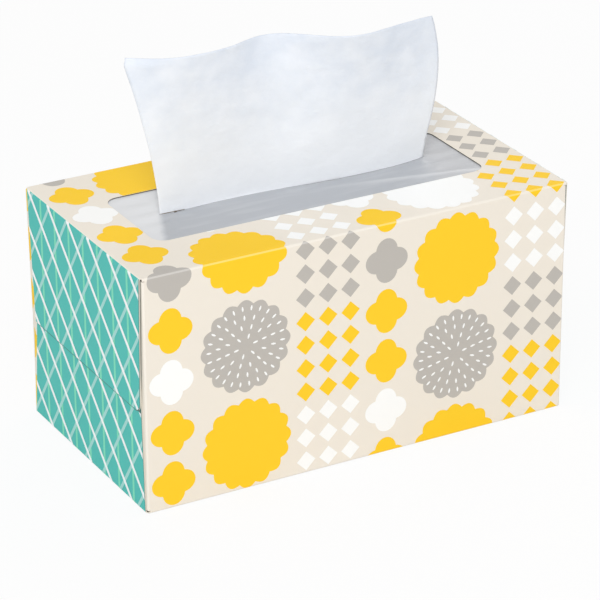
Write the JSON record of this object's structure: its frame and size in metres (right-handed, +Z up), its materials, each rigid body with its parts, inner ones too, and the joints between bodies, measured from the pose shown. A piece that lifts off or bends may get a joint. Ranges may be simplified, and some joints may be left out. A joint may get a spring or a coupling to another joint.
{
  "type": "tissue box",
  "caption": "Flat oblong paperboard carton of facial tissues, with a rounded window and slit film in its top and a tissue standing up through the slit.",
  "frame": {"origin": "middle of the underside of the carton", "axes": "+X along the box, +Y from the front to the back, +Z up"},
  "size_m": [0.234, 0.126, 0.2058],
  "materials": {
    "printed_card": "coated paperboard, printed outside in cream, yellow, grey, white and teal",
    "clear_film": "thin soft polyethylene film, slightly milky, wrinkled along the slit",
    "glue": "dried adhesive",
    "tissue_paper": "soft creped tissue, matt white"
  },
  "bodies": {
    "root": {"carton": "printed_card", "window_film": "clear_film", "film_glue": "glue", "seam_glue": "glue", "left_end_glue": "glue", "right_end_glue": "glue", "tissue_stack": "tissue_paper", "standing_tissue": "tissue_paper"}
  },
  "joints": []
}
